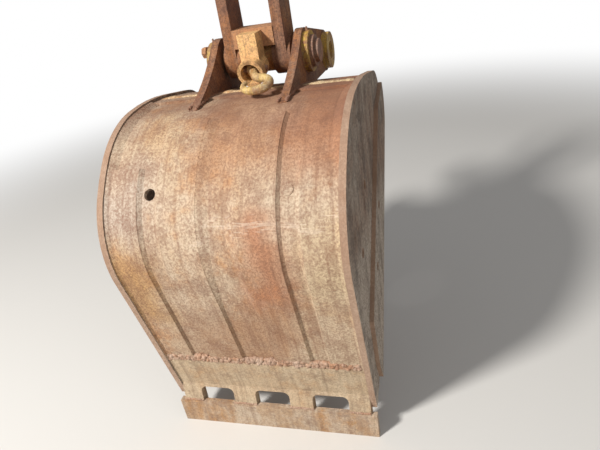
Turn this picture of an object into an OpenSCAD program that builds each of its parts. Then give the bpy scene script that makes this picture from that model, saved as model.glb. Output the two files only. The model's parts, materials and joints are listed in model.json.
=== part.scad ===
// Excavator bucket with its link and lifting hook, standing on its edge bar.
// Millimetres. X runs across the bucket, Y from the back of the shell to the mouth, Z up.
// The origin is the centre of the bore for the arm's pin.

/* [Shell] */
// Width over the two side plates
shell_w = 740; // [680:10:820]
// Thickness of each side plate
side_t = 20; // [16:1:26]
// Thickness of the curved shell plate
wrap_t = 14; // [10:1:18]
// How far the side plates stand proud of the shell plate
side_proud = 18; // [10:1:20]
// Height of the arm's pin above the top of the edge bar
tip_drop = 1050; // [1050:1:1050]
// Distance from the arm's pin back to the front face of the edge bar
tip_back = 855; // [855:1:855]

/* [Lip] */
// Width of each tooth shank
lug_w = 84; // [70:1:95]
// Gap between two shanks
lug_gap = 128; // [115:1:140]
// Height of the open slots above the edge bar
slot_h = 65; // [50:1:80]
// Height of the lip plate's top edge above the edge bar
lip_h = 200; // [170:5:230]
// How far the lip plate stands proud of the shell plate
lip_over = 12; // [8:1:16]
// Height of the edge bar
bar_h = 100; // [80:1:120]
// Thickness of the edge bar
bar_t = 22; // [18:1:22]

/* [Back plates] */
// Thickness of the wear plates on the shell's back
wear_t = 9; // [6:1:10]
// Width of each heel corner plate
corner_w = 106; // [80:1:130]
// Inner edge of each back strip, from the middle
strip_in = 58; // [45:1:70]
// Outer edge of each back strip, from the middle
strip_out = 179; // [150:1:200]
// Radius of the drain holes
drain_r = 18; // [12:1:22]

/* [Ears] */
// Thickness of each ear
ear_t = 26; // [20:1:32]
// Distance between the middles of the two ears
ear_pitch = 296; // [280:1:310]
// Diameter of both pins
pin_d = 65; // [55:1:70]
// Radial play of a pin in its bore
pin_play = 0.05; // [0.02:0.01:0.1]
// Distance between the two pins along Y
pin_back = 280; // [270:1:290]
// Height of the link's pin above the arm's pin
pin_rise = 53; // [48:1:58]

/* [Link] */
// Thickness of each link bar
link_t = 36; // [30:1:40]
// Distance between the middles of the link bars
link_pitch = 180; // [170:1:184]
// Length of the link between its pins
link_len = 430; // [400:5:470]
// Lean of the link towards the mouth, from upright
link_lean = 2; // [0:1:4]

/* [Hook] */
// Outer diameter of the hook's housing
house_d = 90; // [84:1:92]
// Diameter of the hook's round bar
hook_bar = 28; // [24:1:30]
// Radius of the middle line of the hook's bowl
bowl_r = 43; // [38:1:46]

/* [Hidden] */
$fn = 64;

half_w = shell_w / 2;
inner_w = half_w - side_t;
pin_r = pin_d / 2;
bore_r = pin_r + pin_play;
ear_in = ear_pitch / 2 - ear_t / 2;
ear_out = ear_pitch / 2 + ear_t / 2;
link_pin_at = [-pin_back, pin_rise];

// The outline of a side plate, walked from the lip up the back and over the top.
// Each step: length of a straight, or radius of an arc, and the turn in degrees.
start_at = [24 - tip_back, 20 - tip_drop];
start_heading = 101.4;
STEPS = [[600, 0], [320, 49.4], [700, 8], [355, 39], [900, 15], [163, 0]];
arc_step = 4;

function step_len(s) = s[1] == 0 ? s[0] : s[0] * s[1] * PI / 180;
function total(n) = n == 0 ? 0 : total(n - 1) + step_len(STEPS[n - 1]);
path_len = total(len(STEPS));

// Position and heading, as [y, z, heading], after a length along one step
function after(p, s, len) = s[1] == 0
    ? [p[0] + len * cos(p[2]), p[1] + len * sin(p[2]), p[2]]
    : let (h = p[2] - len / s[0] * 180 / PI)
      [p[0] + s[0] * (sin(p[2]) - sin(h)), p[1] + s[0] * (cos(h) - cos(p[2])), h];
function walk(p, n, len) = len <= step_len(STEPS[n]) || n == len(STEPS) - 1
    ? after(p, STEPS[n], len)
    : walk(after(p, STEPS[n], step_len(STEPS[n])), n + 1, len - step_len(STEPS[n]));
// A point at a length along the outline, moved inwards by d
function at(len, d) = let (p = walk([start_at[0], start_at[1], start_heading], 0, len))
    [p[0] + d * sin(p[2]), p[1] - d * cos(p[2])];
// Where the outline is cut into flats: at each step's end, and every few degrees of arc
BREAKS = [for (n = [0:len(STEPS) - 1])
    let (parts = STEPS[n][1] == 0 ? 1 : ceil(STEPS[n][1] / arc_step))
    for (i = [1:parts]) total(n) + step_len(STEPS[n]) * i / parts];
function cuts(a, b) = concat([a], [for (l = BREAKS) if (l > a + 1 && l < b - 1) l], [b]);
function flip(v) = [for (i = [len(v) - 1:-1:0]) v[i]];

// A band between two depths below the outline, from one length to another
function band(a, b, d0, d1) = concat([for (l = cuts(a, b)) at(l, d0)],
                                     [for (l = flip(cuts(a, b))) at(l, d1)]);
function arc(c, r, a0, a1, n) = [for (i = [0:n])
    let (a = a0 + (a1 - a0) * i / n) [c[0] + r * cos(a), c[1] + r * sin(a)]];

// A shape drawn in Y and Z, given thickness from x0 to x1
module across(x0, x1) {
    translate([x0, 0, 0]) rotate([90, 0, 90]) linear_extrude(x1 - x0) children();
}
module both(sign) {
    if (sign > 0) children();
    else mirror([1, 0, 0]) children();
}
// A round bar or hole along X
module rod_x(at, r, x0, x1) {
    translate([x0, at[0], at[1]]) rotate([0, 90, 0]) cylinder(r = r, h = x1 - x0);
}

// Mouth outline: a round upper corner, then a straight edge down to the lip
corner_r = 145;
mouth_angle = 45.6;
top_heading = 101.4 - 49.4 - 8 - 39 - 15;
corner_at = let (p = at(path_len, 0))
    [p[0] + corner_r * sin(top_heading), p[1] - corner_r * cos(top_heading)];
mouth_low = [109 - tip_back, 45 - tip_drop];
mouth_dir = [cos(mouth_angle), sin(mouth_angle)];
mouth_in = [-sin(mouth_angle), cos(mouth_angle)];
function mouth(u, w) = mouth_low + u * mouth_dir + w * mouth_in;
MOUTH = concat(arc(corner_at, corner_r, 90 + top_heading, mouth_angle - 90, 24), [mouth_low]);

module side_outline() {
    polygon(concat([for (l = cuts(0, path_len)) at(l, 0)], MOUTH));
}
// Everything under a depth below the outline, to seat things on the shell
module under(d) {
    polygon(concat([for (l = cuts(0, path_len)) at(l, d)], [[-tip_back + 500, -tip_drop]]));
}

// The four bolt holes in each side, a square turned to the mouth edge
hole_pitch = 215;
hole_r = 16;
hole_mid = mouth(488, 294);
module cutter_holes() {
    for (a = [45:90:315])
        translate(hole_mid + hole_pitch / sqrt(2) * [cos(a + mouth_angle), sin(a + mouth_angle)])
            circle(r = hole_r);
}

module side(sign) {
    color([0.50, 0.36, 0.27]) both(sign) across(inner_w, half_w) difference() {
        side_outline();
        cutter_holes();
    }
}
module side_left() { side(-1); }
module side_right() { side(1); }

// Doubler plate on the outside of each side, along the mouth edge
side_bar_t = 14;
side_bar_w = 250;
module side_bar(sign) {
    color([0.55, 0.40, 0.30]) both(sign) across(half_w, half_w + side_bar_t) difference() {
        intersection() {
            side_outline();
            polygon([mouth(20, -5), mouth(60, 90), mouth(190, side_bar_w),
                     mouth(930, side_bar_w), mouth(1150, 130), mouth(1150, -60), mouth(940, -60)]);
        }
        cutter_holes();
    }
}
module side_bar_left() { side_bar(-1); }
module side_bar_right() { side_bar(1); }

wrap_from = 60;
drain_x = 207;
drain_along = 885;
module drain(sign) {
    p = walk([start_at[0], start_at[1], start_heading], 0, drain_along);
    translate([sign * drain_x, p[0], p[1]]) rotate([p[2], 0, 0])
        cylinder(r = drain_r, h = 120, center = true);
}

module wrapper() {
    color([0.66, 0.46, 0.35]) difference() {
        across(-inner_w, inner_w)
            polygon(band(wrap_from, path_len, side_proud, side_proud + wrap_t));
        drain(-1);
        drain(1);
    }
}
module drain_plug() {
    color([0.60, 0.42, 0.30]) intersection() {
        across(drain_x - 30, drain_x + 30)
            polygon(band(drain_along - 60, drain_along + 60, side_proud - 2, side_proud + wrap_t));
        drain(1);
    }
}

// Lip plate with its shanks: a thick plate outside the shell, slotted at its lower edge
lip_back = 38 - tip_back;
lip_front = 8 - tip_back;
module lip_plate() {
    color([0.78, 0.66, 0.50]) difference() {
        across(-inner_w, inner_w) difference() {
            polygon(concat([for (l = cuts(60, lip_h)) at(l, side_proud - lip_over)],
                [at(lip_h, side_proud), at(wrap_from, side_proud),
                 at(wrap_from, side_proud + wrap_t + 4),
                 [lip_back, -40 - tip_drop], [bar_t - tip_back, -60 - tip_drop],
                 [bar_t - tip_back, -tip_drop], [lip_front, -tip_drop]]));
        }
        for (i = [-1:1]) translate([i * (lug_w + lug_gap), 0, -tip_drop]) slot();
    }
}
slot_corner = 22;
module slot() {
    w = lug_gap / 2;
    translate([0, -tip_back + 60, 0]) rotate([90, 0, 0]) linear_extrude(160, center = true) union() {
        translate([-w, -120]) square([2 * w, 120 + slot_h - slot_corner]);
        translate([-w + slot_corner, 0]) square([2 * (w - slot_corner), slot_h]);
        for (s = [-1, 1]) translate([s * (w - slot_corner), slot_h - slot_corner]) circle(slot_corner);
    }
}
module edge_bar() {
    color([0.74, 0.52, 0.33]) translate([-inner_w - 20, -tip_back, -tip_drop - bar_h])
        cube([2 * inner_w + 40, bar_t, bar_h]);
}

// Doubler over the top of the shell, cut where the ears stand
top_from = 1325;
top_t = 8;
module top_plate() {
    color([0.68, 0.50, 0.36]) difference() {
        across(-inner_w, inner_w)
            polygon(band(top_from, path_len - 20, side_proud - top_t, side_proud));
        for (s = [-1, 1]) translate([s * ear_pitch / 2 - ear_t / 2, -tip_back, -300])
            cube([ear_t, tip_back + 100, 400]);
    }
}
mouth_bar_w = 70;
mouth_bar_t = 20;
module mouth_bar() {
    color([0.60, 0.44, 0.33]) across(-inner_w, inner_w)
        polygon(band(path_len - mouth_bar_w, path_len,
                     side_proud + wrap_t, side_proud + wrap_t + mouth_bar_t));
}

corner_to = 965;
module corner(sign) {
    color([0.62, 0.43, 0.32]) both(sign) across(inner_w - corner_w, inner_w)
        polygon(band(lip_h, corner_to, side_proud - wear_t, side_proud));
}
module corner_left() { corner(-1); }
module corner_right() { corner(1); }

strip_to = 1145;
module strip(sign) {
    color([0.64, 0.45, 0.34]) both(sign) across(strip_in, strip_out)
        polygon(band(lip_h, strip_to, side_proud - wear_t, side_proud));
}
module strip_left() { strip(-1); }
module strip_right() { strip(1); }

// An ear: a long tail that rises from the shell, round the link's pin and down to the arm's pin
tail_at = [-628, -35];
tail_heading = 14;
tail_r = 774;
rise_heading = 38;
ear_pin_r = 78;
ear_arm_r = 76;
module ear_outline() {
    tail = [for (i = [0:10]) let (h = tail_heading + (rise_heading - tail_heading) * i / 10)
        tail_at + tail_r * [sin(h) - sin(tail_heading), cos(tail_heading) - cos(h)]];
    difference() {
        union() {
            hull() {
                translate(link_pin_at) circle(ear_pin_r, $fn = 48);
                circle(ear_arm_r, $fn = 48);
            }
            polygon(concat(tail,
                [link_pin_at + ear_pin_r * [-sin(rise_heading), cos(rise_heading)],
                 link_pin_at, [0, 0], ear_arm_r * [cos(250), sin(250)],
                 at(path_len, side_proud - 2), at(path_len - 80, side_proud + 20), [-640, -90]]));
        }
        under(side_proud);
    }
}
module ear(sign) {
    color([0.58, 0.39, 0.29]) both(sign) difference() {
        across(ear_in, ear_out) ear_outline();
        rod_x([0, 0], bore_r, ear_in - 1, ear_out + 1);
        rod_x(link_pin_at, bore_r, ear_in - 1, ear_out + 1);
    }
}
module ear_left() { ear(-1); }
module ear_right() { ear(1); }

boss_d = 135;
arm_boss_t = 24;
module collar(at, t) {
    difference() {
        rod_x(at, boss_d / 2, ear_out, ear_out + t);
        rod_x(at, bore_r, ear_out - 1, ear_out + t + 1);
    }
}
module arm_boss_left() { color([0.80, 0.66, 0.30]) both(-1) collar([0, 0], arm_boss_t); }
module arm_boss_right() { color([0.80, 0.66, 0.30]) both(1) collar([0, 0], arm_boss_t); }
pin_boss_t = 20;
module pin_boss_left() { color([0.80, 0.66, 0.30]) both(-1) collar(link_pin_at, pin_boss_t); }
module pin_boss_right() { color([0.80, 0.66, 0.30]) both(1) collar(link_pin_at, pin_boss_t); }

pin_out = 18;
module link_pin() {
    color([0.55, 0.38, 0.30])
        rod_x(link_pin_at, pin_r, -ear_out - pin_boss_t - pin_out, ear_out + pin_boss_t);
}
cap_r = 52;
cap_t = 14;
module pin_cap() {
    color([0.62, 0.45, 0.30]) union() {
        rod_x(link_pin_at, cap_r, ear_out + pin_boss_t, ear_out + pin_boss_t + cap_t);
        rod_x(link_pin_at, cap_r - 14, ear_out + pin_boss_t, ear_out + pin_boss_t + 2 * cap_t);
    }
}

// Link: two bars on the pin, joined by a saddle that carries the hook's housing
link_dir = [sin(link_lean), cos(link_lean)];
link_top_at = link_pin_at + link_len * link_dir;
link_in = link_pitch / 2 - link_t / 2;
link_low_r = 62;
link_top_r = 58;
link_boss_in = 55;
link_boss_out = 119;
module link_bar(sign) {
    color([0.52, 0.34, 0.26]) both(sign) difference() {
        union() {
            across(link_in, link_in + link_t) hull() {
                translate(link_pin_at) circle(link_low_r, $fn = 48);
                translate(link_top_at) circle(link_top_r, $fn = 48);
            }
            rod_x(link_pin_at, link_low_r, link_boss_in, link_boss_out);
            rod_x(link_top_at, link_top_r, link_boss_in, link_boss_out);
        }
        rod_x(link_pin_at, bore_r, link_boss_in - 1, link_boss_out + 1);
        rod_x(link_top_at, bore_r, link_boss_in - 1, link_boss_out + 1);
    }
}
module link_bar_left() { link_bar(-1); }
module link_bar_right() { link_bar(1); }

// The housing is a short tube, open towards the back of the shell. A cross pin in it carries the hook.
house_at = [-392, 36];
house_len = 76;
house_tilt = 12;
throat_r = 33;
saddle_h = 60;
hook_pin_r = 10;
module on_house() {
    translate([0, house_at[0], house_at[1]]) rotate([house_tilt, 0, 0]) children();
}
module rod_y(r, y0, y1) {
    translate([0, y1, 0]) rotate([90, 0, 0]) cylinder(r = r, h = y1 - y0);
}
module link_saddle() {
    color([0.76, 0.52, 0.34]) difference() {
        across(-link_in, link_in) translate([link_pin_at[0] - link_low_r, pin_rise + 44])
            square([90, saddle_h]);
        rod_x(link_pin_at, link_low_r, link_boss_in, link_in + 1);
        rod_x(link_pin_at, link_low_r, -link_in - 1, -link_boss_in);
        on_house() rod_y(house_d / 2, -house_len / 2, house_len / 2 + 20);
    }
}
module hook_housing() {
    color([0.72, 0.52, 0.30]) difference() {
        union() {
            on_house() rod_y(house_d / 2, -house_len / 2, house_len / 2);
            difference() {
                translate([-32, house_at[0] - 14, house_at[1] + 20])
                    cube([64, 64, 40 + pin_rise]);
                translate([-40, link_pin_at[0] - link_low_r, pin_rise + 44]) cube([80, 90, saddle_h]);
            }
        }
        on_house() rod_y(throat_r, -house_len, house_len / 2 - 8);
        rod_x(house_at, hook_pin_r, -house_d, house_d);
    }
}
module hook_pin() {
    color([0.50, 0.36, 0.28]) rod_x(house_at, hook_pin_r, -house_d / 2 - 4, house_d / 2 + 4);
}

// Hook: an eye on the cross pin, a shank, a neck out to one side and the round bowl, in one plane
hook_yaw = 20;
shank_r = hook_bar / 2;
shank_len = 50;
neck_turn = 60;
neck_r = bowl_r * cos(neck_turn) / (1 - cos(neck_turn));
bowl_at = shank_len + (neck_r + bowl_r) * sin(neck_turn);
bowl_turn = 285;
tip_r = 7;
eye_r = 19;
eye_w = 30;
// Rings along the hook, each [x, y, heading, radius], X along the shank and Y to the neck's side
RINGS = concat(
    [for (x = [0, shank_len / 2]) [x, 0, 0, shank_r]],
    [for (i = [0:5]) let (t = neck_turn * i / 6)
        [shank_len + neck_r * sin(t), neck_r * (1 - cos(t)), t, shank_r]],
    [for (i = [0:28]) let (t = i / 28, a = 90 + neck_turn - bowl_turn * t)
        [bowl_at + bowl_r * cos(a), bowl_r * sin(a), a - 90,
         shank_r - (shank_r - tip_r) * pow(max(0, t - 0.45) / 0.55, 1.5)]]);
sides = 16;
function ring(p) = [for (i = [0:sides - 1]) let (a = 360 * i / sides)
    [p[0] - p[3] * sin(p[2]) * cos(a), p[1] + p[3] * cos(p[2]) * cos(a), p[3] * sin(a)]];
module swept(rings) {
    n = len(rings);
    polyhedron(
        points = [for (p = rings) each ring(p)],
        faces = concat([[for (i = [0:sides - 1]) i]],
            [for (k = [0:n - 2], i = [0:sides - 1]) let (j = (i + 1) % sides)
                [k * sides + j, k * sides + i, (k + 1) * sides + i, (k + 1) * sides + j]],
            [[for (i = [sides - 1:-1:0]) (n - 1) * sides + i]]));
}
module hook() {
    color([0.80, 0.64, 0.26]) difference() {
        union() {
            rod_x(house_at, eye_r, -eye_w / 2, eye_w / 2);
            on_house() rotate([0, 0, hook_yaw - 90]) swept(RINGS);
        }
        rod_x(house_at, hook_pin_r + pin_play, -eye_w, eye_w);
    }
}

wrapper();
side_left();
side_right();
side_bar_left();
side_bar_right();
lip_plate();
edge_bar();
top_plate();
mouth_bar();
corner_left();
corner_right();
strip_left();
strip_right();
drain_plug();
ear_left();
ear_right();
arm_boss_left();
arm_boss_right();
pin_boss_left();
pin_boss_right();
link_pin();
pin_cap();
link_bar_left();
link_bar_right();
link_saddle();
hook_housing();
hook_pin();
hook();
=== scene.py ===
# %% [markdown]
# A digging bucket stands on its edge bar, with the back of its shell to the camera.
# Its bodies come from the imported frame. This script makes the surfaces: thin old steel,
# dented and rusted, with pale sand dried on it and yellow paint left on the pins' bosses.
# %% Load the frame
import json
import math

import bmesh
import bpy
from mathutils import Matrix, Vector


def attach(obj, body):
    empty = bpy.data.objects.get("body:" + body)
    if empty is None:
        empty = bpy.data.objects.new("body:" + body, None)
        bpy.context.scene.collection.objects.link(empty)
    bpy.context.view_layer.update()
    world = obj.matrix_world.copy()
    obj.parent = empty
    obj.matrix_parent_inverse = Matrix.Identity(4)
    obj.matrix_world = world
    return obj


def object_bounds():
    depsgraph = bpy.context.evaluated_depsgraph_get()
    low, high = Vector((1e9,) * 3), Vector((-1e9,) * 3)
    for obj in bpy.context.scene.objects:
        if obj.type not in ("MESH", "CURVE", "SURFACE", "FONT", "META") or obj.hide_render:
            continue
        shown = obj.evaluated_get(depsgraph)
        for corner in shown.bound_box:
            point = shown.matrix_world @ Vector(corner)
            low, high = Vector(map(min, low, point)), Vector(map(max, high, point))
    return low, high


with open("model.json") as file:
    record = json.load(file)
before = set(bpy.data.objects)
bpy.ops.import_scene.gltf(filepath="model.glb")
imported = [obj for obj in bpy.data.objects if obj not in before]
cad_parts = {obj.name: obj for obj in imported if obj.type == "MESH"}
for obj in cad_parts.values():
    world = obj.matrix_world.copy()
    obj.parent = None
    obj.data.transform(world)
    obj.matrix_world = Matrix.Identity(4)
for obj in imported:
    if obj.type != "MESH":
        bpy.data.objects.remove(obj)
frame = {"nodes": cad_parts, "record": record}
cad_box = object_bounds()
nodes = frame["nodes"]
print("nodes:", len(nodes), "box:", [tuple(round(c, 3) for c in p) for p in cad_box])

# %% [markdown]
# The camera comes first, because every later choice is judged through it. It stands
# behind the bucket and to its right, looks down at about 28 degrees, and is rolled a little.
# Its place was solved from the bucket's own straight edges.
# %% Camera
def add_object(name, data):
    made = bpy.data.objects.new(name, data)
    bpy.context.scene.collection.objects.link(made)
    return made


CAMERA_AT = Vector((0.622, -2.037, 0.361))
LOOK_ALONG = Vector((-0.28352, 0.83619, -0.46946))
CAMERA_ROLL = math.radians(-10.2)
LENS_MM = 30.7

camera_data = bpy.data.cameras.new("camera")
camera_data.lens = LENS_MM
camera_data.sensor_width = 36
camera_data.clip_end = 100
camera = add_object("camera", camera_data)
turn = LOOK_ALONG.to_track_quat("-Z", "Y").to_matrix() @ Matrix.Rotation(CAMERA_ROLL, 3, "Z")
camera.matrix_world = Matrix.Translation(CAMERA_AT) @ turn.to_4x4()
bpy.context.scene.camera = camera
print("camera looks down", round(math.degrees(math.asin(-LOOK_ALONG.normalized().z)), 1), "degrees")

# %% [markdown]
# A broad lamp to the left and above stands for the low sun, softened. A pale world fills the
# shade, and shows as plain white to the camera, so that the floor ends without a line.
# %% Light
def area_light(name, place, target, size, power):
    data = bpy.data.lights.new(name, "AREA")
    data.shape = "DISK"
    data.size = size
    data.energy = power
    lamp = add_object(name, data)
    lamp.location = place
    lamp.rotation_mode = "QUATERNION"
    lamp.rotation_quaternion = (Vector(target) - Vector(place)).to_track_quat("-Z", "Y")


MIDDLE = (cad_box[0] + cad_box[1]) / 2
area_light("key", (-2.8, -4.3, 3.6), MIDDLE, size=0.9, power=515)
area_light("fill", (4.0, -3.0, 2.0), MIDDLE, size=3.0, power=22)

scene = bpy.context.scene
scene.view_settings.view_transform = "Standard"
WORLD_COLOUR, WORLD_STRENGTH, WHITE = (0.93, 0.95, 1.0, 1), 0.34, (1, 1, 1, 1)
world = bpy.data.worlds.new("pale world")
scene.world = world
world.use_nodes = True
around = world.node_tree
shade = around.nodes["Background"]
shade.inputs["Color"].default_value = WORLD_COLOUR
shade.inputs["Strength"].default_value = WORLD_STRENGTH
plain = around.nodes.new("ShaderNodeBackground")
plain.inputs["Color"].default_value = WHITE
seen = around.nodes.new("ShaderNodeLightPath")
either = around.nodes.new("ShaderNodeMixShader")
around.links.new(seen.outputs["Is Camera Ray"], either.inputs[0])
around.links.new(shade.outputs[0], either.inputs[1])
around.links.new(plain.outputs[0], either.inputs[2])
around.links.new(either.outputs[0], around.nodes["World Output"].inputs["Surface"])

# %% [markdown]
# Materials are made of nodes. These small helpers add a node, set its values and join
# sockets, so that each material further down reads as a short list of layers.
# %% Node helpers
def put(tree, kind, **values):
    """Add a node; values whose names match inputs are set or linked, the rest are properties."""
    made = tree.nodes.new(kind)
    for name, value in values.items():
        label = name.replace("_", " ")
        socket = made.inputs.get(label) or made.inputs.get(label.title())
        if socket is None:
            setattr(made, name, value)
        elif isinstance(value, bpy.types.NodeSocket):
            tree.links.new(value, socket)
        else:
            socket.default_value = value
    return made


def math_node(tree, operation, a, b=None):
    made = tree.nodes.new("ShaderNodeMath")
    made.operation = operation
    for socket, value in zip(made.inputs, (a, b)):
        if isinstance(value, bpy.types.NodeSocket):
            tree.links.new(value, socket)
        elif value is not None:
            socket.default_value = value
    return made.outputs[0]


def mix_colour(tree, mask, a, b):
    made = tree.nodes.new("ShaderNodeMix")
    made.data_type = "RGBA"
    for socket, value in ((made.inputs[0], mask), (made.inputs[6], a), (made.inputs[7], b)):
        if isinstance(value, bpy.types.NodeSocket):
            tree.links.new(value, socket)
        elif isinstance(value, tuple):
            socket.default_value = (*value, 1)
        else:
            socket.default_value = value
    return made.outputs[2]


def remap(tree, value, low, high):
    """A soft step from 0 at low to 1 at high."""
    made = put(tree, "ShaderNodeMapRange", interpolation_type="SMOOTHSTEP",
               Value=value, From_Min=low, From_Max=high)
    return made.outputs[0]


def shader_group(name, takes, gives):
    """An empty node group with float inputs (name to default), a Vector, and named outputs."""
    tree = bpy.data.node_groups.new(name, "ShaderNodeTree")
    tree.interface.new_socket("Vector", in_out="INPUT", socket_type="NodeSocketVector")
    for label, default in takes.items():
        made = tree.interface.new_socket(label, in_out="INPUT", socket_type="NodeSocketFloat")
        made.default_value = default
    for label in gives:
        tree.interface.new_socket(label, in_out="OUTPUT", socket_type="NodeSocketFloat")
    return tree, tree.nodes.new("NodeGroupInput"), tree.nodes.new("NodeGroupOutput")


def group_node(tree, group, vector, **values):
    made = tree.nodes.new("ShaderNodeGroup")
    made.node_tree = group
    tree.links.new(vector, made.inputs["Vector"])
    for name, value in values.items():
        made.inputs[name.replace("_", " ")].default_value = value
    return made


# %% [markdown]
# Rust grows in blotches with ragged borders. A slow noise says where, and a faster one,
# added to it, tears the border.
# %% Group: blotches
blotches, g_in, g_out = shader_group(
    "Blotches", {"Scale": 4.0, "Amount": 0.5, "Ragged": 0.35, "Soft": 0.08}, ["Mask"])
slow = put(blotches, "ShaderNodeTexNoise", Vector=g_in.outputs["Vector"],
           Scale=g_in.outputs["Scale"], Detail=3.0, Roughness=0.5)
fast_scale = math_node(blotches, "MULTIPLY", g_in.outputs["Scale"], 7.0)
fast = put(blotches, "ShaderNodeTexNoise", Vector=g_in.outputs["Vector"],
           Scale=fast_scale, Detail=5.0, Roughness=0.65)
torn = math_node(blotches, "MULTIPLY", math_node(blotches, "SUBTRACT", fast.outputs[0], 0.5),
                 g_in.outputs["Ragged"])
field = math_node(blotches, "ADD", slow.outputs[0], torn)
edge_at = math_node(blotches, "SUBTRACT", 1.0, g_in.outputs["Amount"])
low_at = math_node(blotches, "SUBTRACT", edge_at, g_in.outputs["Soft"])
high_at = math_node(blotches, "ADD", edge_at, g_in.outputs["Soft"])
step = put(blotches, "ShaderNodeMapRange", interpolation_type="SMOOTHSTEP", Value=field,
           From_Min=low_at, From_Max=high_at)
blotches.links.new(step.outputs[0], g_out.inputs["Mask"])
print("blotches:", len(blotches.nodes), "nodes")

# %% [markdown]
# Rain and mud leave streaks that run down a plate. The same noise, squeezed along the plate's
# run, gives them: along Y and Z on the shell's back, along Z alone on the sides.
# %% Group: streaks
streaks, g_in, g_out = shader_group(
    "Streaks", {"Scale": 30.0, "Along Y": 0.08, "Along Z": 0.08, "Amount": 0.5}, ["Mask"])
squeeze = put(streaks, "ShaderNodeCombineXYZ", X=1.0, Y=g_in.outputs["Along Y"],
              Z=g_in.outputs["Along Z"])
drawn = put(streaks, "ShaderNodeVectorMath", operation="MULTIPLY")
streaks.links.new(g_in.outputs["Vector"], drawn.inputs[0])
streaks.links.new(squeeze.outputs[0], drawn.inputs[1])
lines = put(streaks, "ShaderNodeTexNoise", Vector=drawn.outputs[0],
            Scale=g_in.outputs["Scale"], Detail=4.0, Roughness=0.6)
FAINT, FULL = 0.9, 1.2      # noise plus amount at which a streak starts, and is complete
low_at = math_node(streaks, "SUBTRACT", FAINT, g_in.outputs["Amount"])
high_at = math_node(streaks, "SUBTRACT", FULL, g_in.outputs["Amount"])
step = put(streaks, "ShaderNodeMapRange", Value=lines.outputs[0], From_Min=low_at,
           From_Max=high_at)
streaks.links.new(step.outputs[0], g_out.inputs["Mask"])
print("streaks:", len(streaks.nodes), "nodes")

# %% [markdown]
# Rusted plate is pitted: small round holes at one size, grit at a finer one. The group puts
# out a height for the bump and a mask of the pits for colour.
# %% Group: pitting
pitting, g_in, g_out = shader_group("Pitting", {"Scale": 120.0, "Depth": 0.5}, ["Height", "Pits"])
cells = put(pitting, "ShaderNodeTexVoronoi", feature="SMOOTH_F1", Vector=g_in.outputs["Vector"],
            Scale=g_in.outputs["Scale"])
grit = put(pitting, "ShaderNodeTexNoise", Vector=g_in.outputs["Vector"],
           Scale=math_node(pitting, "MULTIPLY", g_in.outputs["Scale"], 2.3), Detail=6.0,
           Roughness=0.7)
pit = remap(pitting, cells.outputs["Distance"], 0.38, 0.12)
height = math_node(pitting, "SUBTRACT", grit.outputs[0],
                   math_node(pitting, "MULTIPLY", pit, g_in.outputs["Depth"]))
pitting.links.new(height, g_out.inputs["Height"])
pitting.links.new(pit, g_out.inputs["Pits"])
print("pitting:", len(pitting.nodes), "nodes")

# %% [markdown]
# Some colours belong to a place: rust at the top right, pale dust at the left, sand low down.
# A few zones are painted light instead: shade under the ears, and sunlight near the hub.
# A zone is a soft box in X and Z. Noise shifts the point first, so that its border wanders.
# %% Group: zone
zone, g_in, g_out = shader_group(
    "Zone", {"Low X": -1.0, "High X": 1.0, "Low Z": -1.0, "High Z": 1.0, "Soft": 0.07}, ["Mask"])
WANDER = 0.22               # how far the noise can shift a point, in metres
WANDER_MEAN = WANDER / 2    # its mean, taken off again
wander = put(zone, "ShaderNodeTexNoise", Vector=g_in.outputs["Vector"], Scale=6.0, Detail=4.0,
             Roughness=0.6)
shifted = put(zone, "ShaderNodeVectorMath", operation="MULTIPLY_ADD")
zone.links.new(wander.outputs["Color"], shifted.inputs[0])
shifted.inputs[1].default_value = (WANDER, WANDER, WANDER)
zone.links.new(g_in.outputs["Vector"], shifted.inputs[2])
parts = put(zone, "ShaderNodeSeparateXYZ", Vector=shifted.outputs[0])
inside = None
for axis in "XZ":
    value = math_node(zone, "SUBTRACT", parts.outputs[axis], WANDER_MEAN)
    for bound, sign in (("Low", 1), ("High", -1)):
        gap = math_node(zone, "SUBTRACT", value, g_in.outputs[f"{bound} {axis}"])
        gap = math_node(zone, "MULTIPLY", gap, float(sign))
        rise = put(zone, "ShaderNodeMapRange", interpolation_type="SMOOTHSTEP", Value=gap,
                   From_Min=math_node(zone, "MULTIPLY", g_in.outputs["Soft"], -1.0),
                   From_Max=g_in.outputs["Soft"]).outputs[0]
        inside = rise if inside is None else math_node(zone, "MULTIPLY", inside, rise)
zone.links.new(inside, g_out.inputs["Mask"])
print("zone:", len(zone.nodes), "nodes")

# %% [markdown]
# Every rusty finish is the same stack: a base brown, orange bloom, pale dust in patches and
# streaks, zones of other colour (a few of them painted shade or sunlight), then dark rust, runs,
# flecks and pits. A zone is (colour, strength, low X, high X, low Z, high Z). Faces that don't look
# along X, a side's edges, are painted paler: wear, plus painted sunlight on them. The last layers
# are optional: pale scuffs across a band of heights, and these paler edges.
# %% The rust stack
DENT_DEPTH, GRAIN_DEPTH = 0.02, 0.0025      # metres


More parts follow.
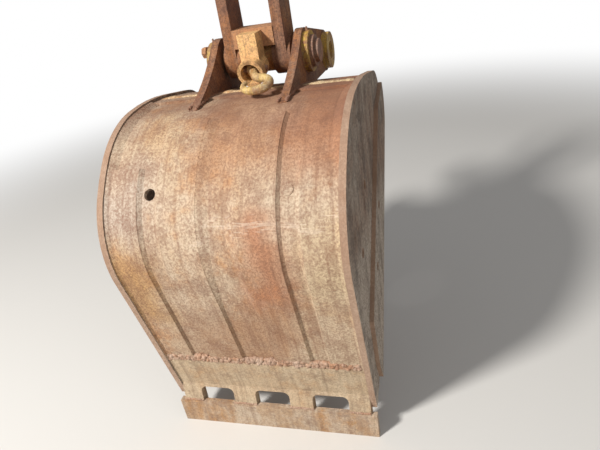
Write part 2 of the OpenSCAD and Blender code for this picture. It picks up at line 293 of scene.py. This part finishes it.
def rusty(name, base, bloom, dark, dust, bloom_amount=0.5, dust_amount=0.4, streak_amount=0.5,
          scale=1.0, rough=0.85, shift=(0, 0, 0), along_y=0.08, zones=(), speckle=0.5,
          worn_and_lit_edge=None, scuffs=None):
    material = bpy.data.materials.new(name)
    material.use_nodes = True
    tree = material.node_tree
    shader = tree.nodes["Principled BSDF"]
    place = put(tree, "ShaderNodeTexCoord")
    here = place.outputs["Object"]
    at = put(tree, "ShaderNodeMapping", Location=shift, Vector=here).outputs[0]
    bloom_mask = group_node(tree, blotches, at, Scale=5.0 * scale, Amount=bloom_amount,
                            Ragged=0.5, Soft=0.10).outputs[0]
    dark_mask = group_node(tree, blotches, at, Scale=14.0 * scale, Amount=0.42, Ragged=0.8,
                           Soft=0.10).outputs[0]
    fleck_mask = group_node(tree, blotches, at, Scale=150.0, Amount=0.46, Ragged=0.7,
                            Soft=0.12).outputs[0]
    dust_mask = group_node(tree, blotches, at, Scale=3.1 * scale, Amount=dust_amount,
                           Ragged=0.8, Soft=0.12).outputs[0]
    streak_mask = group_node(tree, streaks, at, Scale=26.0 * scale, Amount=streak_amount,
                             Along_Y=along_y).outputs[0]
    run_mask = group_node(tree, streaks, at, Scale=60.0 * scale, Amount=0.42,
                          Along_Y=along_y / 2, Along_Z=0.04).outputs[0]
    pits = group_node(tree, pitting, at, Scale=190.0, Depth=0.6)
    colour = mix_colour(tree, bloom_mask, base, bloom)

    def layer(mask, strength, tint):
        nonlocal colour
        colour = mix_colour(tree, math_node(tree, "MULTIPLY", mask, strength), colour, tint)

    layer(dust_mask, 0.6, dust)
    layer(streak_mask, 0.45, dust)
    for tint, strength, low_x, high_x, low_z, high_z in zones:
        limits = group_node(tree, zone, here, Low_X=low_x, High_X=high_x, Low_Z=low_z,
                            High_Z=high_z)
        layer(limits.outputs[0], strength, tint)
    layer(dark_mask, 0.42, dark)
    layer(run_mask, 0.65, dark)
    layer(fleck_mask, speckle, dark)
    layer(pits.outputs["Pits"], 0.3, dark)
    if scuffs:
        tint, low_z, high_z = scuffs
        flat = put(tree, "ShaderNodeMapping", Scale=(0.10, 1, 1), Vector=at).outputs[0]
        line_mask = group_node(tree, blotches, flat, Scale=42.0, Amount=0.41, Ragged=0.9,
                               Soft=0.05).outputs[0]
        band = group_node(tree, zone, here, Low_X=-0.05, Low_Z=low_z, High_Z=high_z,
                          Soft=0.03).outputs[0]
        layer(math_node(tree, "MULTIPLY", line_mask, band), 0.4, tint)
    # A side's edges, the faces that don't look along X, are painted paler: wear plus painted
    # sunlight.
    if worn_and_lit_edge:
        facing = put(tree, "ShaderNodeSeparateXYZ", Vector=place.outputs["Normal"])
        sideways = math_node(tree, "ABSOLUTE", facing.outputs["X"])
        layer(remap(tree, sideways, 0.7, 0.3), 0.7, worn_and_lit_edge)
    tree.links.new(colour, shader.inputs["Base Color"])
    shader.inputs["Roughness"].default_value = rough
    dent = put(tree, "ShaderNodeTexNoise", Vector=at, Scale=7.0, Detail=2.0)
    dented = put(tree, "ShaderNodeBump", Strength=0.5, Distance=DENT_DEPTH,
                 Height=dent.outputs[0])
    scale_height = math_node(tree, "ADD", pits.outputs["Height"],
                             math_node(tree, "MULTIPLY", fleck_mask, 0.5))
    bumped = put(tree, "ShaderNodeBump", Strength=0.5, Distance=GRAIN_DEPTH, Height=scale_height)
    tree.links.new(dented.outputs[0], bumped.inputs["Normal"])
    tree.links.new(bumped.outputs[0], shader.inputs["Normal"])
    return material


# %% [markdown]
# Rust and sand lie unevenly on the shell, and the top zone is dark rust with painted shade under
# the ears. The shell's path, seen through the camera, gave the height of each row of the picture,
# and so each zone's place. Colours were set by comparing mean tones.
# %% The shell's zones
SHELL_ZONES = (
    ((0.60, 0.46, 0.28), 0.60, -0.30, -0.13, -0.14, -0.04),   # sandy tan, upper left
    ((0.46, 0.24, 0.12), 0.75, -0.07, 0.19, -0.16, 0.10),     # rust, top middle
    ((0.40, 0.17, 0.08), 0.85, 0.19, 0.60, -0.15, 0.10),      # orange-brown, top right
    ((0.50, 0.41, 0.33), 0.70, -0.60, -0.20, -0.29, -0.13),   # dusty pink-grey, left
    ((0.58, 0.47, 0.34), 0.65, 0.13, 0.28, -0.29, -0.13),     # scraped pale, round the plug
    ((0.60, 0.46, 0.28), 0.75, 0.22, 0.60, -0.54, -0.29),     # sand, right
    ((0.52, 0.30, 0.12), 0.80, -0.60, -0.24, -0.62, -0.36),   # orange sand, low left
    ((0.42, 0.15, 0.06), 0.80, 0.06, 0.17, -0.54, -0.24),     # red runs, middle
    ((0.40, 0.25, 0.15), 0.65, -0.24, 0.14, -1.20, -0.56),    # tan brown, low middle
    ((0.58, 0.46, 0.31), 0.60, 0.16, 0.60, -1.20, -0.54),     # pale sand, low right
    ((0.17, 0.065, 0.038), 0.90, -0.60, 0.60, -0.02, 0.30),   # dark rust and painted shade, under the ears
)
print("zones:", len(SHELL_ZONES))

# %% [markdown]
# There is one finish for each material slot, and one each for weld metal, the hub and caked sand.
# The four colours of a finish are its base, bloom, dark and dust.
# %% Finishes
SHELL = rusty("shell rust", (0.54, 0.39, 0.25), (0.49, 0.26, 0.12), (0.22, 0.10, 0.055),
              (0.62, 0.49, 0.35), bloom_amount=0.5, dust_amount=0.48, zones=SHELL_ZONES,
              speckle=0.5, scuffs=((0.72, 0.58, 0.45), -0.31, -0.25))
SIDE = rusty("side rust", (0.23, 0.145, 0.095), (0.26, 0.14, 0.08), (0.06, 0.035, 0.025),
             (0.50, 0.42, 0.33), along_y=1.0, shift=(3, 0, 0), streak_amount=0.62,
             zones=(((0.58, 0.49, 0.39), 0.75, -0.60, 0.60, -1.20, -0.42),),
             # paler edges: wear plus painted sunlight
             worn_and_lit_edge=(0.42, 0.25, 0.155))
LIP = rusty("lip sand", (0.58, 0.43, 0.27), (0.50, 0.30, 0.15), (0.21, 0.125, 0.075),
            (0.58, 0.46, 0.31), dust_amount=0.6, speckle=0.3, shift=(0, 3, 0))
EDGE = rusty("edge rust", (0.46, 0.30, 0.17), (0.47, 0.24, 0.085), (0.20, 0.11, 0.07),
             (0.60, 0.50, 0.38), speckle=0.35, dust_amount=0.5, shift=(0, 0, 3),
             zones=(((0.50, 0.22, 0.085), 0.85, -0.6, 0.6, -0.6, 0.8),))
LINK = rusty("link rust", (0.25, 0.105, 0.053), (0.38, 0.15, 0.05), (0.07, 0.032, 0.022),
             (0.34, 0.21, 0.13), scale=2.0, dust_amount=0.38, shift=(1, 2, 0))
BOSS = rusty("chipped yellow", (0.66, 0.40, 0.05), (0.34, 0.14, 0.05), (0.15, 0.07, 0.04),
             (0.58, 0.45, 0.25), scale=3.0, bloom_amount=0.45, dust_amount=0.3, speckle=0.35,
             rough=0.6, shift=(2, 1, 0),
             # brighter orange near the hub: rust, made lighter as painted sunlight
             zones=(((0.95, 0.56, 0.24), 0.80, -0.11, 0.11, -0.4, 0.5),))
HOOK = rusty("hook paint", (0.70, 0.47, 0.14), (0.42, 0.19, 0.06), (0.22, 0.10, 0.05),
             (0.72, 0.60, 0.38), scale=4.0, bloom_amount=0.46, dust_amount=0.42, speckle=0.3,
             rough=0.55, shift=(0, 1, 2))
PIN = rusty("pin steel", (0.30, 0.15, 0.09), (0.40, 0.18, 0.08), (0.12, 0.06, 0.045),
            (0.46, 0.32, 0.22), scale=3.0, rough=0.6, shift=(1, 1, 4))
WELD = rusty("weld metal", (0.50, 0.33, 0.23), (0.46, 0.24, 0.13), (0.24, 0.12, 0.07),
             (0.56, 0.42, 0.31), scale=3.0, dust_amount=0.45, shift=(4, 0, 1), speckle=0.4,
             # dark at the top: dark rust and painted shade under the ears
             zones=(((0.24, 0.10, 0.055), 0.85, -0.6, 0.6, -0.25, 0.3),))
HUB = rusty("hub rust", (0.60, 0.27, 0.09), (0.50, 0.18, 0.05), (0.20, 0.09, 0.045),
            (0.66, 0.42, 0.14), scale=4.0, dust_amount=0.45, rough=0.7, shift=(2, 4, 0))
SAND = rusty("caked sand", (0.62, 0.38, 0.17), (0.52, 0.25, 0.09), (0.26, 0.13, 0.06),
             (0.72, 0.58, 0.36), scale=3.0, dust_amount=0.55, shift=(2, 2, 2))
ADDED_FINISHES = (WELD, HUB, SAND)
print("finishes for added pieces:", [finish.name for finish in ADDED_FINISHES])

# %% [markdown]
# Every node takes the finish of its slot in the record, so that the scene and the record agree.
# A finish is only assigned: the node's mesh isn't touched.
# %% Dress the nodes
SLOT_FINISH = {"shell_rust": SHELL, "side_rust": SIDE, "lip_sand": LIP, "edge_rust": EDGE,
               "link_rust": LINK, "boss_yellow": BOSS, "pin_steel": PIN, "hook_yellow": HOOK}
slot_of = {s["node"]: s["material_slot"] for s in frame["record"]["subparts"]}
for name, node in nodes.items():
    node.data.materials.clear()
    node.data.materials.append(SLOT_FINISH[slot_of[name]])
print("dressed:", len(nodes), "nodes in", len(SLOT_FINISH), "slots")

# %% [markdown]
# Old plate has no sharp corner left. A small bevel rounds every edge of the flat pieces; the
# hook is already round.
# %% Worn edges
MM = 0.001
WORN = {"edge_bar": 5, "lip_plate": 4, "side_left": 4, "side_right": 4, "link_saddle": 6,
        "hook_housing": 9}      # bevel widths in mm
WORN_ELSEWHERE = 2.0
SHARP_FROM = math.radians(35)
for name, node in nodes.items():
    if name == "hook":
        continue
    bevel = node.modifiers.new("worn edges", "BEVEL")
    bevel.width = WORN.get(name, WORN_ELSEWHERE) * MM
    bevel.segments = 3 if name == "hook_housing" else 2
    bevel.limit_method = "ANGLE"
    bevel.angle_limit = SHARP_FROM
    bevel.harden_normals = True
print("bevelled:", len(nodes) - 1)

# %% [markdown]
# The welds follow the same path as the shell: straights and arcs walked from the lip up the
# back and over the top. A point on it is a length along the path and a depth below the side
# plates' edge.
# %% The shell's path
TIP_BACK, TIP_DROP = 855, 1050
START, START_HEADING = (24 - TIP_BACK, 20 - TIP_DROP), 101.4
# Each step is (length, 0) for a straight or (radius, degrees turned) for an arc.
STEPS = ((600, 0), (320, 49.4), (700, 8), (355, 39), (900, 15), (163, 0))


def step_len(step):
    return step[0] * math.radians(step[1]) if step[1] else step[0]


PATH_LEN = sum(step_len(s) for s in STEPS)


def on_shell(along, depth, x):
    """A point in metres at a length along the path, a depth below it, and X, all in mm."""
    (y, z), heading = START, math.radians(START_HEADING)
    for size, angle in STEPS:
        run = min(along, step_len((size, angle)))
        if (size, angle) == STEPS[-1]:
            run = along
        if angle:
            after = heading - run / size
            y += size * (math.sin(heading) - math.sin(after))
            z += size * (math.cos(after) - math.cos(heading))
            heading = after
        else:
            y += run * math.cos(heading)
            z += run * math.sin(heading)
        along -= run
        if along <= 1e-6:
            break
    return (x * MM, (y + depth * math.sin(heading)) * MM, (z - depth * math.cos(heading)) * MM)


print("path", round(PATH_LEN), "mm, top at", [round(c, 3) for c in on_shell(PATH_LEN, 0, 0)])

# %% [markdown]
# One Geometry Nodes tree lays a weld: it cuts a line into short steps, sets a blob of metal on
# each, varies their sizes and nudges them, as a hand weld does.
# %% Weld tree
weld_tree = bpy.data.node_groups.new("Weld bead", "GeometryNodeTree")
weld_tree.interface.new_socket("Geometry", in_out="INPUT", socket_type="NodeSocketGeometry")
radius_socket = weld_tree.interface.new_socket("Radius", in_out="INPUT",
                                               socket_type="NodeSocketFloat")
weld_tree.interface.new_socket("Geometry", in_out="OUTPUT", socket_type="NodeSocketGeometry")
w_in = weld_tree.nodes.new("NodeGroupInput")
w_out = weld_tree.nodes.new("NodeGroupOutput")
radius = w_in.outputs["Radius"]
BLOB_GAP, BLOB_NUDGE, BLOB_SIZES = 0.7, 0.3, (0.6, 1.15)       # in radii of the bead
curve = put(weld_tree, "GeometryNodeMeshToCurve", Mesh=w_in.outputs["Geometry"])
steps = put(weld_tree, "GeometryNodeResampleCurve", mode="LENGTH", Curve=curve.outputs[0],
            Length=math_node(weld_tree, "MULTIPLY", radius, BLOB_GAP))
nudge = put(weld_tree, "FunctionNodeRandomValue", data_type="FLOAT_VECTOR")
nudge.inputs[0].default_value = (-1, -1, -1)
nudged = put(weld_tree, "ShaderNodeVectorMath", operation="SCALE", Vector=nudge.outputs[0],
             Scale=math_node(weld_tree, "MULTIPLY", radius, BLOB_NUDGE))
moved = put(weld_tree, "GeometryNodeSetPosition", Geometry=steps.outputs[0],
            Offset=nudged.outputs[0])
blob = put(weld_tree, "GeometryNodeMeshIcoSphere", Radius=1.0, Subdivisions=2)
size = put(weld_tree, "FunctionNodeRandomValue", data_type="FLOAT")
size.inputs[2].default_value, size.inputs[3].default_value = BLOB_SIZES
laid = put(weld_tree, "GeometryNodeInstanceOnPoints", Points=moved.outputs[0],
           Instance=blob.outputs[0],
           Scale=math_node(weld_tree, "MULTIPLY", size.outputs[1], radius))
solid = put(weld_tree, "GeometryNodeRealizeInstances", Geometry=laid.outputs[0])
smooth = put(weld_tree, "GeometryNodeSetShadeSmooth", Geometry=solid.outputs[0])
finish = put(weld_tree, "GeometryNodeSetMaterial", Geometry=smooth.outputs[0], Material=WELD)
weld_tree.links.new(finish.outputs[0], w_out.inputs["Geometry"])
print("weld tree:", len(weld_tree.nodes), "nodes")

# %% [markdown]
# The welds that still show: across the top of the lip, beside the feet of the ears, and where
# the shanks meet the bar.
# %% Lay the welds
def lay_weld(name, lines_of_points, bead):
    """Weld along lines of points in metres; the bead is its radius in mm."""
    points, edges = [], []
    for line in lines_of_points:
        edges += [(len(points) + i, len(points) + i + 1) for i in range(len(line) - 1)]
        points += line
    mesh = bpy.data.meshes.new(name)
    mesh.from_pydata(points, edges, [])
    made = add_object(name, mesh)
    run = made.modifiers.new("weld", "NODES")
    run.node_group = weld_tree
    run[radius_socket.identifier] = bead * MM
    bpy.context.view_layer.update()
    shown = made.evaluated_get(bpy.context.evaluated_depsgraph_get())
    made.data = bpy.data.meshes.new_from_object(shown)
    made.modifiers.clear()
    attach(made, "bucket")
    print(name, len(lines_of_points), "lines,", len(made.data.polygons), "faces")


def along_shell(start, end, depth, x, gap=25):
    count = max(2, round((end - start) / gap))
    return [on_shell(start + (end - start) * i / count, depth, x) for i in range(count + 1)]


def across_shell(length, depth, x0, x1, gap=40):
    count = max(2, round((x1 - x0) / gap))
    return [on_shell(length, depth, x0 + (x1 - x0) * i / count) for i in range(count + 1)]


# Sizes in mm that match the part: the shell's depth, the lip's end, and for the ears their place,
# half their thickness and where their tails end.
SHELL_AT, LIP_TO = 18, 200
EAR_X, EAR_HALF, EAR_TAIL_Y = 148, 13, -628
BOTH = (-1, 1)
past_tail = (d for d in range(900, 1600, 5) if on_shell(d, SHELL_AT, 0)[1] > EAR_TAIL_Y * MM)
EAR_FROM, EAR_TO = next(past_tail) + 30, PATH_LEN - 14
print("ears welded from", EAR_FROM)
LIP_WELD_X, LIP_WELD_DEPTH, LIP_WELD_ROWS, EAR_WELD_DEPTH = 344, 14, (3, 12, 21), 13
lay_weld("weld_lip", [across_shell(LIP_TO + row, LIP_WELD_DEPTH, -LIP_WELD_X, LIP_WELD_X)
                      for row in LIP_WELD_ROWS], bead=9.0)
lay_weld("weld_ears", [along_shell(EAR_FROM, EAR_TO, EAR_WELD_DEPTH, s * (EAR_X + t * EAR_HALF))
                       for s in BOTH for t in BOTH], bead=5.5)
SHANKS = ((-348, -276), (-148, -64), (64, 148), (276, 348))
lay_weld("weld_shanks", [[(x * MM, (8 - TIP_BACK) * MM, (3 - TIP_DROP) * MM)
                          for x in (a, (a + b) / 2, b)] for a, b in SHANKS], bead=4.0)

# %% [markdown]
# The long seams are worn smooth. Each is a slope from the raised plate down to the shell: broad
# near the top, where wear and sand have hidden it, and narrow low down, where it still shows.
# %% Worn seams
# The seam's steps and where it widens. Then, to match the part, the plates' edges, ends and depth.
SEAM_STEP, WIDENS_FROM, WIDENS_OVER = 20, 450, 300
INNER_W, CORNER_IN, STRIP_IN, STRIP_OUT = 350, 244, 58, 179
CORNER_TO, STRIP_TO, TOP_FROM, PLATE_AT = 965, 1145, 1325, 9


def loft(made, rings):
    """Join rings of points in metres into a closed tube, and cap its ends."""
    rings = [[made.verts.new(point) for point in ring] for ring in rings]
    for lower, upper in zip(rings, rings[1:]):
        for i in range(len(lower)):
            j = (i + 1) % len(lower)
            made.faces.new((lower[i], lower[j], upper[j], upper[i]))
    made.faces.new(rings[0])
    made.faces.new(rings[-1])


def to_mesh(name, made, material):
    bmesh.ops.recalc_face_normals(made, faces=made.faces)
    mesh = bpy.data.meshes.new(name)
    made.to_mesh(mesh)
    made.free()
    mesh.materials.append(material)
    print(name, len(mesh.polygons), "faces")
    return mesh


def worn_seam(name, runs):
    """Sloped fillets. A run is (from, to, x of the plate's edge, side it falls to, depth of its
    top, depth of its foot, width low on the shell, width high on it)."""
    made = bmesh.new()
    for start, end, edge_x, falls, top, foot, low_w, high_w in runs:
        count = max(2, round((end - start) / SEAM_STEP))
        rings = []
        for i in range(count + 1):
            d = start + (end - start) * i / count
            blend = min(1, max(0, (d - WIDENS_FROM) / WIDENS_OVER))
            wide = low_w + (high_w - low_w) * blend
            section = ((edge_x - falls, top), (edge_x + falls * wide, foot),
                       (edge_x - falls, foot + 1))
            rings.append([on_shell(d, depth, x) for x, depth in section])
        loft(made, rings)
    piece = add_object(name, to_mesh(name, made, SHELL))
    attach(piece, "bucket")


PLATE_TOP, SHELL_FOOT, SIDE_TOP = PLATE_AT + 0.3, SHELL_AT + 0.2, 3
SEAM_FROM = LIP_TO + 2
worn_seam("seam_strips", [(SEAM_FROM, STRIP_TO, s * x, s * f, PLATE_TOP, SHELL_FOOT, 7, wide)
                          for s in BOTH for x, f, wide in ((STRIP_IN, -1, 34), (STRIP_OUT, 1, 10))]
          + [(SEAM_FROM, CORNER_TO, s * CORNER_IN, -s, PLATE_TOP, SHELL_FOOT, 7, 14)
             for s in BOTH])
worn_seam("seam_sides", [(SEAM_FROM, CORNER_TO, s * INNER_W, -s, SIDE_TOP, PLATE_AT + 0.2, 10, 16)
                         for s in BOTH]
          + [(CORNER_TO, TOP_FROM, s * INNER_W, -s, SIDE_TOP, SHELL_FOOT, 30, 30) for s in BOTH])

# %% [markdown]
# Small fasteners: a keeper bolt beside the pin's left end, and a grease nipple on each boss.
# %% Fasteners
FLAT_SIDES = 24             # a turned piece with more sides than this is shaded smooth


def turned(name, place, direction, profile, finish, sides, body="bucket"):
    """A small turned piece; the profile is (radius, height) pairs in mm from its seat outwards."""
    corners = [2 * math.pi * i / sides for i in range(sides)]
    made = bmesh.new()
    loft(made, [[(r * MM * math.cos(c), r * MM * math.sin(c), h * MM) for c in corners]
                for r, h in profile])
    look = Vector(direction).to_track_quat("Z", "Y").to_matrix().to_4x4()
    made.transform(Matrix.Translation(Vector(place) * MM) @ look)
    mesh = to_mesh(name, made, finish)
    if sides > FLAT_SIDES:
        mesh.shade_smooth()
        mesh.set_sharp_from_angle(angle=math.radians(40))
    piece = add_object(name, mesh)
    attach(piece, body)


BOSS_X, PIN_Y, PIN_Z, BOSS_R = 181, -280, 53, 67.5
turned("keeper_bolt", (-BOSS_X, PIN_Y - 34, PIN_Z + 42), (-1, 0, 0),
       [(13, 0), (13, 3), (20, 4), (20, 17), (17, 21)], EDGE, sides=6)
for side, sign in (("left", -1), ("right", 1)):
    turned(f"grease_nipple_{side}", (sign * (BOSS_X - 10), PIN_Y, PIN_Z + BOSS_R - 1), (0, 0, 1),
           [(5, 0), (5, 4), (3, 5), (3, 9), (4, 11), (2, 14)], PIN, sides=12)

# %% [markdown]
# The link turns on its pin in a stout hub with rounded shoulders. It fills the gap between the
# two bars and rides with them.
# %% Hub
HUB_HALF, HUB_R, SHOULDER = 62, 50, 14
shoulder = [(HUB_R - SHOULDER + SHOULDER * math.sin(math.radians(a)),
             SHOULDER - SHOULDER * math.cos(math.radians(a))) for a in range(0, 91, 15)]
hub_profile = shoulder + [(r, 2 * HUB_HALF - h) for r, h in reversed(shoulder)]
turned("pin_hub", (-HUB_HALF, PIN_Y, PIN_Z), (1, 0, 0), hub_profile, HUB, sides=48, body="link")

# %% [markdown]
# Sand and old grease cake along the top plate, just past the crest, on both sides of the ears and
# between them.
# %% Caked sand
CAKE_AT, CAKE_WIDE, CAKE_HIGH, CAKE_SEAT = TOP_FROM + 75, 24, 8, 11
CAKE_STEP, CAKE_TAPER = 12, 30
CAKE_SECTION = ((-1, 0), (-0.7, 0.7), (0, 1), (0.7, 0.7), (1, 0))
CAKE_RUNS = ((-344, -170), (-126, 126), (170, 344))
cake = bmesh.new()
for x0, x1 in CAKE_RUNS:
    count = round((x1 - x0) / CAKE_STEP)
    rings = []
    for i in range(count + 1):
        x = x0 + (x1 - x0) * i / count
        swell = 0.75 + 0.25 * math.sin(x * 0.09) * math.sin(x * 0.031 + 1)
        high = CAKE_HIGH * swell * min(1, 0.25 + min(x - x0, x1 - x) / CAKE_TAPER)
        rings.append([on_shell(CAKE_AT + CAKE_WIDE * c * swell, CAKE_SEAT - high * h, x)
                      for c, h in CAKE_SECTION])
    loft(cake, rings)
cake_mesh = to_mesh("caked_sand", cake, SAND)
cake_mesh.shade_smooth()
caked = add_object("caked_sand", cake_mesh)
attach(caked, "bucket")

# %% [markdown]
# The floor is a wide pale sheet at the foot of the edge bar. It takes the bucket's shadow, and
# turns to plain white further out, so that it has no far edge.
# %% Floor
REACH, FADE_FROM, FADE_TO = 30, 2.6, 5.5        # metres from the origin
FLOOR_COLOUR = (0.66, 0.63, 0.58, 1)
floor_z = cad_box[0].z
floor_mesh = bpy.data.meshes.new("floor")
floor_mesh.from_pydata([(-REACH, -REACH, floor_z), (REACH, -REACH, floor_z),
                        (REACH, REACH, floor_z), (-REACH, REACH, floor_z)], [], [(0, 1, 2, 3)])
floor = add_object("floor", floor_mesh)
pale = bpy.data.materials.new("pale floor")
pale.use_nodes = True
ground = pale.node_tree
matt = ground.nodes["Principled BSDF"]
matt.inputs["Base Color"].default_value = FLOOR_COLOUR
matt.inputs["Roughness"].default_value = 0.95
spot = put(ground, "ShaderNodeTexCoord")
away = put(ground, "ShaderNodeVectorMath", operation="LENGTH")
ground.links.new(spot.outputs["Object"], away.inputs[0])
far = remap(ground, away.outputs["Value"], FADE_FROM, FADE_TO)
seen = put(ground, "ShaderNodeLightPath")
white = put(ground, "ShaderNodeEmission", Color=WHITE, Strength=1.0)
either = ground.nodes.new("ShaderNodeMixShader")
ground.links.new(math_node(ground, "MULTIPLY", far, seen.outputs["Is Camera Ray"]),
                 either.inputs[0])
ground.links.new(matt.outputs[0], either.inputs[1])
ground.links.new(white.outputs[0], either.inputs[2])
ground.links.new(either.outputs[0], ground.nodes["Material Output"].inputs["Surface"])
floor_mesh.materials.append(pale)
print("floor at z", round(floor_z, 3))
